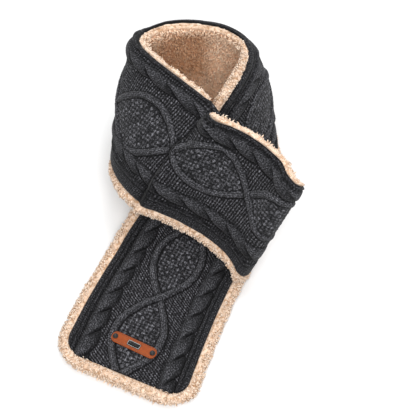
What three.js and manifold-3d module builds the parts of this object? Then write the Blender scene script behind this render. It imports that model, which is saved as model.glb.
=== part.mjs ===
// Heated neck warmer: one long strip of cable knit, lined with sherpa pile that rolls round its edges,
// wound once round the neck. One end is folded back and sewn down as a loop, and the other passes through it.
// Millimetres, +Z up. The part lies as it rests by itself: tail flat on the surface, collar standing behind it.
import * as THREE from "three";
import { mergeVertices } from "three/addons/utils/BufferGeometryUtils.js";
import Module from "manifold-3d";

// ---------------------------------------------------------------- driving dimensions
const KNIT_WIDTH = 120; // knit face between the sherpa rolls
const GAP = 0.75; // clearance between knit and lining
const SEAM = 0.3; // clearance between neighbouring stretches
const LINING_BACK = 7; // outer face of the sherpa below the middle surface
const ROLL_WIDE = 10.3; // sherpa roll along the tail, the lower edge and the right panel
const ROLL_NARROW = 4.6; // sherpa edge that shows along the upper edge of the left panel and band
const CORNER = 18; // radius of the knit's corners at the end of the tail
// Knit relief, heights over the middle surface.
const GROUND = 2.4;
const BORDER_HIGH = 3.4;
const CABLE_AT = 41; // centre of each side cable from the middle of the pattern
const CABLE_WIDTH = 15.2;
const CABLE_HIGH = 4.8;
const CABLE_PITCH = 25; // one strand comes up in each pitch
const CREEP = { by: 6.5, from: 440, to: 500 }; // past the nape the pattern lies nearer to the upper edge
// Where strands come up in the upper and lower cable: mm along the strip, with their number there.
const UPPER_TURNS = [
  { s: 32, turn: 0 },
  { s: 125, turn: 4 },
  { s: 543, turn: 21 },
  { s: 577, turn: 22 },
  { s: 610, turn: 23 },
  { s: 709, turn: 27 },
];
const LOWER_TURNS = [
  { s: 16, turn: 0 },
  { s: 90, turn: 3 },
  { s: 621, turn: 24 },
  { s: 702, turn: 27 },
];
const RIB_WIDTH = 6.8;
const RIB_HIGH = 4.6;
// Where the two ribs cross, mm along the strip, with their offset there, and the half width and sideways bow of the
// diamond that follows.
const CROSSINGS = [
  { s: -3, offset: 3, open: 23, bow: 0 },
  { s: 84, offset: -1.5, open: 23.5, bow: 0 },
  { s: 171, offset: 0, open: 26, bow: 0 },
  { s: 257, offset: 0, open: 26, bow: 0 },
  { s: 344, offset: 0, open: 26, bow: 0 },
  { s: 425, offset: -3, open: 27, bow: 0 },
  { s: 509, offset: -6, open: 29, bow: 0 },
  { s: 605, offset: 4, open: 25, bow: 9 },
  { s: 690, offset: 10, open: 25, bow: 0 },
  { s: 772, offset: 12, open: 26, bow: 0 },
  { s: 858, offset: 0, open: 26, bow: 0 },
];
// Leather tab with a charging port, across the tail.
const TAB = { s: 29.5, v: 0, long: 46.4, wide: 11, thick: 1.5, back: 2.7, turn: -0.04 };
const RIVET = { apart: 39, head: 5, headHigh: 1.1, shank: 2 };
const PORT = { long: 12.6, wide: 5, wall: 0.45, deep: 4.2 };
// Knit laid flat under the tab.
const TAB_BED = { long: 54, wide: 22, high: 2.3 };

// Sections of the strip from the end of the tail to the sewn end of the loop.
// x, y, z: middle of the strip; bx, by, bz: direction across it, towards the edge that becomes the collar's top rim;
// wide: width of the knit there, which gathers inside the loop; bulge: how far the middle stands out from the two edges.
const STATIONS = [
  // x, y, z, bx, by, bz, wide, bulge
  [-79, -186, 7, -0.92, 0.4, 0, 124, 0], // end of the tail
  [-57, -128, 7, -0.9, 0.43, 0, 121, 0],
  [-40, -89, 7, -0.88, 0.47, 0, 118, 0],
  [-27, -63, 11, -0.87, 0.48, 0.04, 116, 0], // lifts off under the band
  [-11, -38, 20, -0.87, 0.45, 0.19, 110, 0],
  [5, -15, 31.5, -0.85, 0.34, 0.4, 107, 0], // inside the loop
  [20, 7, 44, -0.76, 0.17, 0.63, 107, 0],
  [34, 30, 54.5, -0.61, 0, 0.79, 110, 1],
  [44, 53, 64, -0.46, -0.1, 0.88, 116, 3], // right panel
  [50, 77, 68.8, -0.32, -0.15, 0.94, 119, 6],
  [50, 100, 69.6, -0.19, -0.17, 0.97, 120, 10],
  [46.5, 111, 70.8, -0.13, -0.17, 0.98, 120, 11.5],
  [40, 120.5, 71.4, -0.09, -0.16, 0.98, 120, 12.5],
  [31, 128, 71.3, -0.06, -0.14, 0.99, 120, 13],
  [20, 133, 71.3, -0.04, -0.11, 0.99, 120, 13], // nape
  [-5, 136, 70.6, -0.01, -0.04, 1, 120, 13],
  [-31, 132, 70.6, 0.01, 0.05, 1, 120, 12],
  [-53, 122, 70, 0.04, 0.14, 0.99, 120, 12],
  [-70, 105, 74, 0.09, 0.21, 0.97, 120, 11], // left side
  [-78, 84, 82, 0.2, 0.26, 0.94, 120, 9],
  [-75, 61, 90, 0.34, 0.31, 0.89, 120, 7],
  [-66, 39, 97, 0.46, 0.37, 0.81, 120, 4], // left panel
  [-52, 18, 101, 0.55, 0.42, 0.72, 120, 1.5],
  [-36, -3, 104, 0.6, 0.43, 0.68, 120, 0],
  [-29, -13, 102, 0.56, 0.35, 0.75, 120, 0], // crease, where the loop is sewn down behind
  [-22, -20, 103, 0.45, 0.28, 0.85, 120, 0],
  [2, -29, 96, 0.43, 0.28, 0.86, 120, 0], // band across the front
  [24, -42, 91, 0.43, 0.26, 0.87, 120, 0],
  [42, -60, 88, 0.41, 0.23, 0.89, 120, 0],
  [48, -71, 88, 0.37, 0.19, 0.91, 120, 0], // the loop turns back
  [53, -75.4, 86, 0.37, 0.19, 0.91, 118, 0],
  [59.4, -74.9, 81.7, 0.37, 0.19, 0.91, 115, 0],
  [62.9, -70, 76.5, 0.37, 0.19, 0.91, 111, 0],
  [61, -63.5, 72.7, 0.37, 0.19, 0.91, 107, 0],
  [41.4, -46.1, 70.7, 0.43, 0.24, 0.87, 102, 0], // hidden back of the loop, drawn narrower
  [21.6, -28.2, 73.9, 0.46, 0.28, 0.84, 100, 0],
  [1, -13.5, 79.5, 0.47, 0.3, 0.83, 100, 0],
  [-16.2, -3.1, 85.8, 0.48, 0.34, 0.81, 100, 0], // sewn end of the loop
];
// Moves the sections so that the origin is under the middle of the whole part, on the surface.
const ORIGIN = new THREE.Vector3(-27.1, -31.6, 0);

// Stretches between neighbouring seams, mm along the strip. Row spacing is finer where the strip turns sharply.
const STRETCHES = [
  { name: "tail", from: 0, to: 150, step: 5.5 },
  { name: "through", from: 150, to: 228, step: 11, plain: true },
  { name: "right_panel", from: 228, to: 350, step: 5.5 },
  { name: "nape", from: 350, to: 475, step: 5.5 },
  { name: "left_panel", from: 475, to: 612, step: 5.5 },
  { name: "band_front", from: 612, to: 712, step: 5.5 },
  { name: "band_return", from: 712, to: Infinity, step: 10, turn: 744, plain: true }, // turns back before 744
];
const KNIT_COLOR = 0x3f4044;
const SHERPA_COLOR = 0xe3cdb6;
const LEATHER_COLOR = 0xb5652f;
const RIVET_COLOR = 0x34353a;
const PORT_COLOR = 0xc9cbd0;
const INSERT_COLOR = 0x18181a;

// ---------------------------------------------------------------- strip geometry
const vec = (x, y, z) => new THREE.Vector3(x, y, z);
const rows = STATIONS.map(([x, y, z, bx, by, bz, wide, bulge]) => ({
  c: vec(x, y, z),
  b: vec(bx, by, bz).normalize(),
  wide,
  bulge,
}));
const knots = [0];
for (let i = 1; i < rows.length; i++)
  knots.push(knots[i - 1] + rows[i].c.distanceTo(rows[i - 1].c));

// Smooth curve through the stations: each value with a slope from its neighbours.
// A held value never passes its neighbours, which keeps the tail flat on the surface.
function smooth(get, held = false) {
  const y = rows.map(get),
    n = y.length,
    m = new Array(n);
  for (let i = 0; i < n; i++) {
    const h0 = i ? knots[i] - knots[i - 1] : 0,
      h1 = i < n - 1 ? knots[i + 1] - knots[i] : 0;
    const d0 = i ? (y[i] - y[i - 1]) / h0 : 0,
      d1 = i < n - 1 ? (y[i + 1] - y[i]) / h1 : 0;
    m[i] = !i ? d1 : i === n - 1 ? d0 : (h1 * d0 + h0 * d1) / (h0 + h1);
    if (held && i && i < n - 1) m[i] = d0 * d1 <= 0 ? 0 : (2 * d0 * d1) / (d0 + d1);
  }
  return (t) => {
    let i = 0;
    while (i < n - 2 && t > knots[i + 1]) i++;
    const h = knots[i + 1] - knots[i],
      a = (t - knots[i]) / h,
      b = 1 - a;
    return (
      b * b * (1 + 2 * a) * y[i] +
      a * a * (3 - 2 * a) * y[i + 1] +
      h * (a * b * b * m[i] - a * a * b * m[i + 1])
    );
  };
}
const curve = {
  x: smooth((r) => r.c.x),
  y: smooth((r) => r.c.y),
  z: smooth((r) => r.c.z, true),
  bx: smooth((r) => r.b.x),
  by: smooth((r) => r.b.y),
  bz: smooth((r) => r.b.z, true),
  wide: smooth((r) => r.wide),
  bulge: smooth((r) => r.bulge),
};
// Length along the centre line against the curve's own parameter.
const walk = [{ t: 0, s: 0 }];
{
  const total = knots[knots.length - 1],
    n = 1600;
  let last = vec(curve.x(0), curve.y(0), curve.z(0)),
    s = 0;
  for (let i = 1; i <= n; i++) {
    const t = (total * i) / n,
      p = vec(curve.x(t), curve.y(t), curve.z(t));
    s += p.distanceTo(last);
    last = p;
    walk.push({ t, s });
  }
}
const LENGTH = walk[walk.length - 1].s;
function param(s) {
  if (s <= 0) return s; // runs on straight past the first station
  if (s >= LENGTH) return walk[walk.length - 1].t + (s - LENGTH);
  let lo = 0,
    hi = walk.length - 1;
  while (hi - lo > 1) {
    const mid = (lo + hi) >> 1;
    if (walk[mid].s <= s) lo = mid;
    else hi = mid;
  }
  const a = (s - walk[lo].s) / (walk[hi].s - walk[lo].s);
  return walk[lo].t + a * (walk[hi].t - walk[lo].t);
}
// Frame of the strip at s: centre, unit vector across it, gather and bulge.
function frameAt(s) {
  const tEnd = walk[walk.length - 1].t;
  let t = param(s);
  const over = t < 0 ? t : t > tEnd ? t - tEnd : 0;
  t = Math.min(Math.max(t, 0), tEnd);
  const c = vec(curve.x(t), curve.y(t), curve.z(t));
  if (over) {
    const q = over < 0 ? 0.5 : tEnd - 0.5;
    const p = vec(curve.x(q), curve.y(q), curve.z(q));
    c.add(c.clone().sub(p).normalize().multiplyScalar(Math.abs(over)));
  }
  const b = vec(curve.bx(t), curve.by(t), curve.bz(t)).normalize();
  return { c, b, gather: curve.wide(t) / KNIT_WIDTH, bulge: curve.bulge(t) };
}
const frames = new Map();
function frame(s) {
  const key = Math.round(s * 1000);
  if (!frames.has(key)) {
    const f = frameAt(s),
      f0 = frameAt(s - 0.5),
      f1 = frameAt(s + 0.5);
    f.n = f1.c.clone().sub(f0.c).cross(f.b).normalize();
    frames.set(key, f);
  }
  return frames.get(key);
}
// Point of the middle surface: v runs across the strip in real millimetres.
function middle(s, v) {
  const f = frame(s),
    k = 1 - (v / (KNIT_WIDTH / 2)) ** 2;
  return f.c
    .clone()
    .addScaledVector(f.b, v)
    .addScaledVector(f.n, f.bulge * k);
}
// Point h outside the middle surface, h < 0 on the lining side.
function at(s, v, h) {
  const p = middle(s, v),
    ds = middle(s + 0.6, v).sub(middle(s - 0.6, v)),
    dv = middle(s, v + 0.6).sub(middle(s, v - 0.6));
  const n = ds.cross(dv).normalize();
  return p.addScaledVector(n, h).sub(ORIGIN);
}

// ---------------------------------------------------------------- knit pattern
const HALF = KNIT_WIDTH / 2;
// Centre offset and half width of the diamond whose ribs run past s.
function diamond(s) {
  let i = 0;
  while (i < CROSSINGS.length - 2 && s > CROSSINGS[i + 1].s) i++;
  const a = CROSSINGS[i],
    b = CROSSINGS[i + 1],
    u = Math.min(Math.max((s - a.s) / (b.s - a.s), 0), 1);
  return {
    mid: a.offset + (b.offset - a.offset) * u + a.bow * Math.sin(Math.PI * u) * (1 - u),
    half: a.open * Math.sin(Math.PI * u) ** 0.95,
  };
}
const clamp01 = (x) => Math.min(Math.max(x, 0), 1);
// How far the pattern lies towards the upper edge at s.
const creep = (s) => CREEP.by * clamp01((s - CREEP.from) / (CREEP.to - CREEP.from));
// Number of turns a cable has made at s.
function turned(table, s) {
  let i = 0;
  while (i < table.length - 2 && s > table[i + 1].s) i++;
  const a = table[i],
    b = table[i + 1];
  if (s < a.s) return a.turn + (s - a.s) / CABLE_PITCH;
  if (s > b.s) return b.turn + (s - b.s) / CABLE_PITCH;
  return a.turn + ((b.turn - a.turn) * (s - a.s)) / (b.s - a.s);
}
// Height of the knit over the middle surface; p runs across the pattern, -60 to 60.
function knitHeight(s, p) {
  const across = p - creep(s);
  const q = Math.abs(across);
  // place across the cable, -1 at its lower edge to 1 at its upper
  const c = (across - Math.sign(across) * CABLE_AT) / (CABLE_WIDTH / 2);
  if (q > CABLE_AT + CABLE_WIDTH / 2 + 3.2)
    return BORDER_HIGH - 0.9 * clamp01((Math.abs(p) - (HALF - 2)) / 2);
  if (Math.abs(c) < 1) {
    const strand = turned(across > 0 ? UPPER_TURNS : LOWER_TURNS, s) + 0.42 * c;
    const turn = Math.cos(2 * Math.PI * strand);
    return GROUND + (CABLE_HIGH - GROUND) * Math.sqrt(1 - c * c) * (0.76 + 0.24 * turn);
  }
  if (q > CABLE_AT) return GROUND - 0.4;
  const d = diamond(s);
  const near = Math.min(Math.abs(p - d.mid - d.half), Math.abs(p - d.mid + d.half));
  return GROUND + (RIB_HIGH - GROUND) * clamp01((RIB_WIDTH / 2 - near) / 1.4);
}
// Columns of the knit's face from edge to edge, with one on each side and on the crown of every rib.
function columns(s, plain) {
  const edge = [HALF, HALF - 2, CABLE_AT + CABLE_WIDTH / 2 + 3.6];
  const moved = creep(s);
  if (plain) return [...edge.map((e) => -e), -26, 0, 26, ...edge.reverse()].sort((a, b) => a - b);
  const c = [1, 0.72, 0, -0.72, -1].map((k) => CABLE_AT + (k * CABLE_WIDTH) / 2);
  const side = [edge[2], CABLE_AT + CABLE_WIDTH / 2 + 2.8, ...c];
  const d = diamond(s),
    r = RIB_WIDTH / 2,
    lim = CABLE_AT - CABLE_WIDTH / 2 - 0.4;
  const out = [-HALF, 2 - HALF, ...side.map((e) => moved - e), ...side.map((e) => Math.min(moved + e, HALF - 2.2)), HALF - 2, HALF];
  for (const w of [-1, 1]) {
    const centre = d.half;
    const cols = [Math.max(centre - r, 0.5), Math.max(centre - 2, 1.3), Math.max(centre + 2, 2.2), Math.max(centre + r, 3.4)];
    for (const k of cols) out.push(Math.max(moved - lim, Math.min(moved + lim, d.mid + w * k)));
    out.push(d.mid + w * Math.max(cols[3] + 0.5, (cols[3] + lim + w * (moved - d.mid)) / 2));
  }
  out.push(d.mid);
  return out.sort((a, b) => a - b);
}

// ---------------------------------------------------------------- solids
// Closed body through rings of points; each ring is a closed polygon with the same count.
function loft(rings, flats) {
  const pos = [],
    n = rings[0].length,
    push = (a, b, c) => pos.push(a.x, a.y, a.z, b.x, b.y, b.z, c.x, c.y, c.z);
  for (let i = 0; i < rings.length - 1; i++)
    for (let j = 0; j < n; j++) {
      const k = (j + 1) % n,
        a = rings[i][j],
        b = rings[i][k],
        c = rings[i + 1][k],
        d = rings[i + 1][j];
      if (a.distanceToSquared(c) <= b.distanceToSquared(d)) {
        push(a, b, c);
        push(a, c, d);
      } else {
        push(a, b, d);
        push(b, c, d);
      }
    }
  for (const [ring, flat, turn] of [
    [rings[0], flats[0], true],
    [rings[rings.length - 1], flats[flats.length - 1], false],
  ])
    for (const [a, b, c] of THREE.ShapeUtils.triangulateShape(flat, []))
      turn ? push(ring[a], ring[c], ring[b]) : push(ring[a], ring[b], ring[c]);
  const g = new THREE.BufferGeometry();
  g.setAttribute("position", new THREE.Float32BufferAttribute(pos, 3));
  return g;
}

// Rows of one stretch: an even count of steps, so that the lining can use every other row.
function rowsOf({ from, to, step, turn }) {
  const a = from + (from > 0 ? SEAM / 2 : 0),
    b = Math.min(to - SEAM / 2, LENGTH),
    out = [];
  let start = from > 0 ? a : CORNER;
  if (from <= 0) out.push(0, 1.2, 3.6, 7, 11, 14.5);
  if (turn) {
    for (let i = 0; i < 8; i++) out.push(a + ((turn - a) * i) / 8);
    start = turn;
  }
  const n = 2 * Math.max(1, Math.round((b - start) / step / 2));
  for (let i = 0; i <= n; i++) out.push(start + ((b - start) * i) / n);
  return out;
}
// Half width of the outline that lies o outside the knit's own outline.
function halfAt(s, o) {
  const half = (KNIT_WIDTH / 2) * frame(Math.max(s, 0)).gather,
    r = CORNER + o,
    in_ = r - (s + o);
  if (s > CORNER) return half + o;
  if (in_ >= r) return half + o - r;
  return half + o - r + Math.sqrt(r * r - Math.max(0, in_) ** 2);
}
const spread = (list, least) => {
  for (let i = 1; i < list.length; i++) list[i] = Math.max(list[i], list[i - 1] + least);
  return list;
};
const INNER = [-48, -32, -16, 0, 16, 32, 48];
// Holds a row of widths inside plus or minus limit, a little apart from each other.
function hold(list, limit, least = 0.35) {
  const n = list.length;
  return list.map((v, i) => {
    const top = limit - least * (n - 1 - i),
      low = -limit + least * i;
    return Math.max(low, Math.min(top, v));
  });
}
function knitSection(s, plain) {
  const g = frame(Math.max(s, 0)).gather,
    limit = halfAt(s, 0);
  const cols = spread(columns(s, plain), 0.35),
    face = hold(cols.map((p) => p * g), limit),
    back = hold([-HALF * g, ...INNER.map((p) => p * g), HALF * g], limit);
  const out = back.map((v) => [v, 0]);
  for (let i = cols.length - 1; i >= 0; i--) {
    let h = knitHeight(s, cols[i]);
    if (s < CORNER && limit - Math.abs(face[i]) < 3) h = Math.min(h, BORDER_HIGH - 0.3 * (3 - limit + Math.abs(face[i])));
    if (s < 2) h = Math.min(h, BORDER_HIGH - 0.45 * (2 - s));
    if (Math.abs(s - TAB.s) < TAB_BED.wide / 2 && Math.abs(face[i] - TAB.v) < TAB_BED.long / 2) h = Math.min(h, TAB_BED.high);
    out.push([face[i], h]);
  }
  return out;
}
// Width of the sherpa edge beyond the knit: side +1 is the edge that becomes the top rim.
const ease = (x) => x * x * (3 - 2 * x);
function rollWidth(s, side) {
  if (side < 0) return ROLL_WIDE;
  const u = ease(clamp01((s - 290) / 90));
  return ROLL_WIDE + (ROLL_NARROW - ROLL_WIDE) * u;
}
// Faces of the lining t inside its outline.
function liningTop(t, wide) {
  const crown = 1.8 + 0.26 * wide,
    tm = 0.55 * wide;
  if (t <= tm) return -1 + (crown + 1) * (1 - (1 - t / tm) ** 2);
  return crown - (crown - 1.2) * Math.min((t - tm) / (wide - tm), 1) ** 2;
}
const liningBottom = (t) => (t < 3.2 ? -LINING_BACK + 4.8 * (1 - t / 3.2) ** 2 : -LINING_BACK);
function liningSection(s) {
  const g = frame(Math.max(s, 0)).gather;
  const end = s + GAP + ROLL_WIDE; // distance from the outer end of the tail
  const edge = (side, share) => {
    const w = rollWidth(s, side),
      o = GAP + w * (1 - share);
    return { v: side * halfAt(s, o), t: w * share, w, o };
  };
  const bottom = [],
    top = [];
  for (const share of [0.09, 0.32, 0.85]) {
    const e = edge(-1, share);
    bottom.push([e.v, e.t]);
  }
  for (const p of [-40, -20, 0, 20, 40]) bottom.push([p * g, ROLL_WIDE]);
  for (const share of [0.85, 0.32, 0.09]) {
    const e = edge(1, share);
    bottom.push([e.v, e.t]);
  }
  const b = hold(bottom.map((x) => x[0]), halfAt(s, GAP + ROLL_WIDE) - 0.4, 0.4);
  const out = bottom.map((x, i) => [b[i], liningBottom(Math.min(x[1], end))]);
  const r0 = edge(1, 0);
  const rightT = [0.09, 0.3, 0.55, 0.82, 1].map((k) => edge(1, k));
  const leftT = [1, 0.82, 0.55, 0.3, 0.09].map((k) => edge(-1, k));
  const inPocket = s > -GAP + 1e-6;
  const floor = (v) => [v, inPocket ? -GAP : null];
  const list = [
    ...rightT.map((e) => [e.v, e]),
    [halfAt(s, GAP) - 0.05, "floor"],
    ...[...INNER].reverse().map((p) => [p * g, "floor"]),
    [-halfAt(s, GAP) + 0.05, "floor"],
    ...leftT.map((e) => [e.v, e]),
  ];
  const held = hold(list.map((x) => x[0]).reverse(), halfAt(s, GAP + Math.max(rollWidth(s, 1), rollWidth(s, -1))) - 0.3, 0.05).reverse();
  out.push([r0.v, -1.6]);
  list.forEach((x, i) => {
    let h;
    if (x[1] === "floor") h = inPocket ? -GAP : liningTop(end, ROLL_WIDE);
    else h = liningTop(Math.min(x[1].t, end), x[1].w);
    out.push([held[i], h]);
  });
  out.push([edge(-1, 0).v, -1.6]);
  return out;
}
function body(rowList, section) {
  const sections = rowList.map(section);
  const rings = rowList.map((s, i) => sections[i].map(([v, h]) => at(s, v, h)));
  // the end faces are filled on the bulged section, so that no triangle leaves it
  const flats = [0, rowList.length - 1].map((i) => {
    const { bulge } = frame(rowList[i]);
    return sections[i].map(([v, h]) => new THREE.Vector2(v, h + bulge * (1 - (v / HALF) ** 2)));
  });
  return loft(rings, flats);
}

const neckWarmer = new THREE.Group();
function add(name, geometry, color, roughness, metalness = 0) {
  geometry.computeVertexNormals();
  const mesh = new THREE.Mesh(geometry, new THREE.MeshStandardMaterial({ color, roughness, metalness }));
  mesh.name = name;
  neckWarmer.add(mesh);
}
for (const stretch of STRETCHES) {
  const list = rowsOf(stretch);
  add(stretch.name + "_knit", body(list, (s) => knitSection(s, stretch.plain)), KNIT_COLOR, 0.95);
  let lining;
  if (stretch.from <= 0) {
    const r = GAP + ROLL_WIDE;
    lining = [-r, -r + 0.8, -r + 2.6, -r + 5.6, -r + 8.4, -GAP, -GAP + 0.05, 1.2, 3.6, 7, 11, 14.5, ...list.filter((s, i) => s >= CORNER && (i - 6) % 2 === 0)];
  } else lining = stretch.plain ? list : list.filter((s, i) => i % 2 === 0);
  add(stretch.name + "_lining", body(lining, liningSection), SHERPA_COLOR, 1);
}

// ---------------------------------------------------------------- tab, rivets and port
// Frame of the tab on the tail: a along it (across the strip), c along the strip, h outwards.
const tabMid = at(TAB.s, TAB.v, 0);
const tabOut = at(TAB.s, TAB.v, 1).sub(tabMid).normalize();
const tabAcross = at(TAB.s, TAB.v + 1, 0).sub(at(TAB.s, TAB.v - 1, 0)).normalize().applyAxisAngle(tabOut, TAB.turn);
const tabAlong = tabOut.clone().cross(tabAcross).normalize();
const onTab = new THREE.Matrix4().makeBasis(tabAcross, tabAlong, tabOut).setPosition(tabMid);

function slot(path, long, wide, corner) {
  const x = long / 2,
    y = wide / 2;
  path.moveTo(-x + corner, -y);
  path.lineTo(x - corner, -y);
  path.absarc(x - corner, -y + corner, corner, -Math.PI / 2, 0, false);
  path.absarc(x - corner, y - corner, corner, 0, Math.PI / 2, false);
  path.absarc(-x + corner, y - corner, corner, Math.PI / 2, Math.PI, false);
  path.absarc(-x + corner, -y + corner, corner, Math.PI, Math.PI * 1.5, false);
  return path;
}
const extrude = (shape, depth, from, segments = 6) => {
  const g = new THREE.ExtrudeGeometry(shape, { depth, bevelEnabled: false, curveSegments: segments });
  g.deleteAttribute("normal");
  g.deleteAttribute("uv");
  g.translate(0, 0, from);
  return g;
};
const tabShape = slot(new THREE.Shape(), TAB.long, TAB.wide, TAB.wide / 2 - 0.6);
tabShape.holes.push(slot(new THREE.Path(), PORT.long + 2 * SEAM, PORT.wide + 2 * SEAM, 0.9));
for (const side of [-1, 1]) {
  const hole = new THREE.Path();
  hole.absarc((side * RIVET.apart) / 2, 0, RIVET.shank / 2 + SEAM, 0, Math.PI * 2, false);
  tabShape.holes.push(hole);
}
add("leather_tab", extrude(tabShape, TAB.thick, TAB.back).applyMatrix4(onTab), LEATHER_COLOR, 0.6);

const headFrom = TAB.back + TAB.thick + SEAM;
for (const [side, name] of [
  [-1, "rivet_a"],
  [1, "rivet_b"],
]) {
  const r = RIVET.head / 2,
    profile = [
      [0, TAB_BED.high + SEAM],
      [RIVET.shank / 2, TAB_BED.high + SEAM],
      [RIVET.shank / 2, headFrom],
      [r - 0.1, headFrom],
      [r, headFrom + 0.35],
      [r * 0.8, headFrom + 0.8],
      [r * 0.42, headFrom + RIVET.headHigh - 0.05],
      [0, headFrom + RIVET.headHigh],
    ].map(([x, y]) => new THREE.Vector2(x, y));
  const g = new THREE.LatheGeometry(profile, 20);
  g.rotateX(Math.PI / 2).translate((side * RIVET.apart) / 2, 0, 0);
  add(name, g.applyMatrix4(onTab), RIVET_COLOR, 0.45, 0.8);
}

// Port: a metal shell set in a pocket of the knit, with a moulded insert and its tongue.
const shellTop = TAB.back + TAB.thick + 0.3;
const shellShape = slot(new THREE.Shape(), PORT.long, PORT.wide, 0.7);
shellShape.holes.push(slot(new THREE.Path(), PORT.long - 2 * PORT.wall, PORT.wide - 2 * PORT.wall, 0.4));
add("port_shell", extrude(shellShape, PORT.deep, shellTop - PORT.deep, 3).applyMatrix4(onTab), PORT_COLOR, 0.3, 1);
{
  // T-shaped insert: a base across the shell and a tongue standing in it.
  const y = PORT.wide / 2 - PORT.wall - SEAM,
    h0 = shellTop - PORT.deep;
  const t = new THREE.Shape();
  t.moveTo(-y, h0);
  t.lineTo(y, h0);
  t.lineTo(y, h0 + 1);
  t.lineTo(0.65, h0 + 1);
  t.lineTo(0.65, h0 + 3.4);
  t.lineTo(-0.65, h0 + 3.4);
  t.lineTo(-0.65, h0 + 1);
  t.lineTo(-y, h0 + 1);
  t.closePath();
  const long = PORT.long - 2 * PORT.wall - 2 * SEAM;
  const g = extrude(t, long, -long / 2);
  // section plane (y, h) to the tab's frame, extruded along it
  g.applyMatrix4(new THREE.Matrix4().makeBasis(vec(0, 1, 0), vec(0, 0, 1), vec(1, 0, 0)));
  add("port_insert", g.applyMatrix4(onTab), INSERT_COLOR, 0.6);
}

// Pocket through the tail's knit for the port.
const wasm = await Module();
wasm.setup();
function solid(geometry) {
  const g = geometry.index ? geometry.toNonIndexed() : geometry.clone();
  g.deleteAttribute("normal");
  g.deleteAttribute("uv");
  const merged = mergeVertices(g, 1e-4);
  return new wasm.Manifold(new wasm.Mesh({ numProp: 3, vertProperties: merged.attributes.position.array, triVerts: new Uint32Array(merged.index.array) }));
}
{
  const tail = neckWarmer.getObjectByName("tail_knit");
  const pocket = extrude(slot(new THREE.Shape(), PORT.long + 2 * SEAM, PORT.wide + 2 * SEAM, 0.9), 10, -3).applyMatrix4(onTab);
  const mesh = solid(tail.geometry).subtract(solid(pocket)).getMesh();
  const g = new THREE.BufferGeometry();
  const n = mesh.numProp,
    v = new Float32Array((mesh.vertProperties.length / n) * 3);
  for (let i = 0; i < v.length / 3; i++) v.set(mesh.vertProperties.subarray(i * n, i * n + 3), i * 3);
  g.setAttribute("position", new THREE.BufferAttribute(v, 3));
  g.setIndex(new THREE.BufferAttribute(new Uint32Array(mesh.triVerts), 1));
  g.computeVertexNormals();
  tail.geometry = g;
}

export default neckWarmer;
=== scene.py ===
"""A heated neck warmer dressed over its CAD frame: cable knit, sherpa lining and leather tab.

The knit follows the same strip as the CAD: s runs along it from the end of the tail, v across it towards the
collar's upper rim, and h out of it. The pattern's own place across is p, which is v before the cloth gathers.
Sizes are millimetres until a mesh is made, and metres from there on.
"""

import math

import bpy
import numpy as np
from mathutils import Matrix, Vector
from mathutils.kdtree import KDTree


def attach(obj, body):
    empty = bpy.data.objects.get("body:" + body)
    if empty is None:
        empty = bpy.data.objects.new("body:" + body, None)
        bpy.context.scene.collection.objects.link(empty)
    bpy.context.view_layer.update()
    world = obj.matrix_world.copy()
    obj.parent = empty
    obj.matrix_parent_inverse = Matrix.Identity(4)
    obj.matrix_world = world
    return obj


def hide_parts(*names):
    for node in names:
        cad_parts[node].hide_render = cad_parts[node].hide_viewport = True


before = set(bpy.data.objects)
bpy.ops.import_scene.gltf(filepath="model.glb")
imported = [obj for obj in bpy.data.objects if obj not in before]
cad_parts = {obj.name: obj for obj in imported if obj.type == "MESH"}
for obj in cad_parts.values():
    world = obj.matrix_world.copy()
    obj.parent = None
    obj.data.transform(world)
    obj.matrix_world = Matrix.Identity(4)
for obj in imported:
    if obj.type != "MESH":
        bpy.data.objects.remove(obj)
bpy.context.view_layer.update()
MM = 0.001

# ------------------------ driving dimensions, shared with the CAD
KNIT_WIDTH = 120.0
HALF = KNIT_WIDTH / 2
SEAM = 0.3
CORNER = 18.0
# Heights over the middle surface
GROUND = 2.4
BACK_HIGH = 0.25  # the knit's plain back
BORDER_HIGH = 3.4
RIB_HIGH = 4.6
# Places and sizes across the pattern
BORDER_FROM = 52.0
RIB_WIDTH = 6.8
CABLE_AT = 41.0
CABLE_WIDTH = 15.2
CABLE_PITCH = 25.0
CREEP = {"by": 6.5, "from": 440, "to": 500}  # past the nape the pattern lies nearer to the upper edge
# Where strands come up in the upper and lower cable: s and the strand's number.
UPPER_TURNS = np.array([(32, 0), (125, 4), (543, 21), (577, 22), (610, 23), (709, 27)], float)
LOWER_TURNS = np.array([(16, 0), (90, 3), (621, 24), (702, 27)], float)
# Stitch sizes
PURL_ROW = 2.75  # one row of the plain ground
PURL_BUMP = 3.7
MOSS_ROW, MOSS_COLUMN = 3.4, 4.1
STITCH_ROW = 2.3  # one row of the stocking stitches on ribs and border
BORDER_COLUMN = 2.35
CABLE_COLUMN, CABLE_ROW = 2.5, 2.1
# Where the two ribs cross: s and p there, and the half width and sideways bow of the diamond that follows.
CROSSINGS = np.array([
    (-3, 3, 23, 0),
    (84, -1.5, 23.5, 0),
    (171, 0, 26, 0),
    (257, 0, 26, 0),
    (344, 0, 26, 0),
    (425, -3, 27, 0),
    (509, -6, 29, 0),
    (605, 4, 25, 9),
    (690, 10, 25, 0),
    (772, 12, 26, 0),
    (858, 0, 26, 0),
], float)
TAB = {"s": 29.5, "v": 0.0, "long": 46.4, "wide": 11.0, "thick": 1.5, "back": 2.7, "turn": -0.04}
TAB_BED = {"long": 54.0, "wide": 22.0, "high": 2.3}
RIVET_APART = 39.0
PORT = {"long": 12.6, "wide": 5.0}
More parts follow.
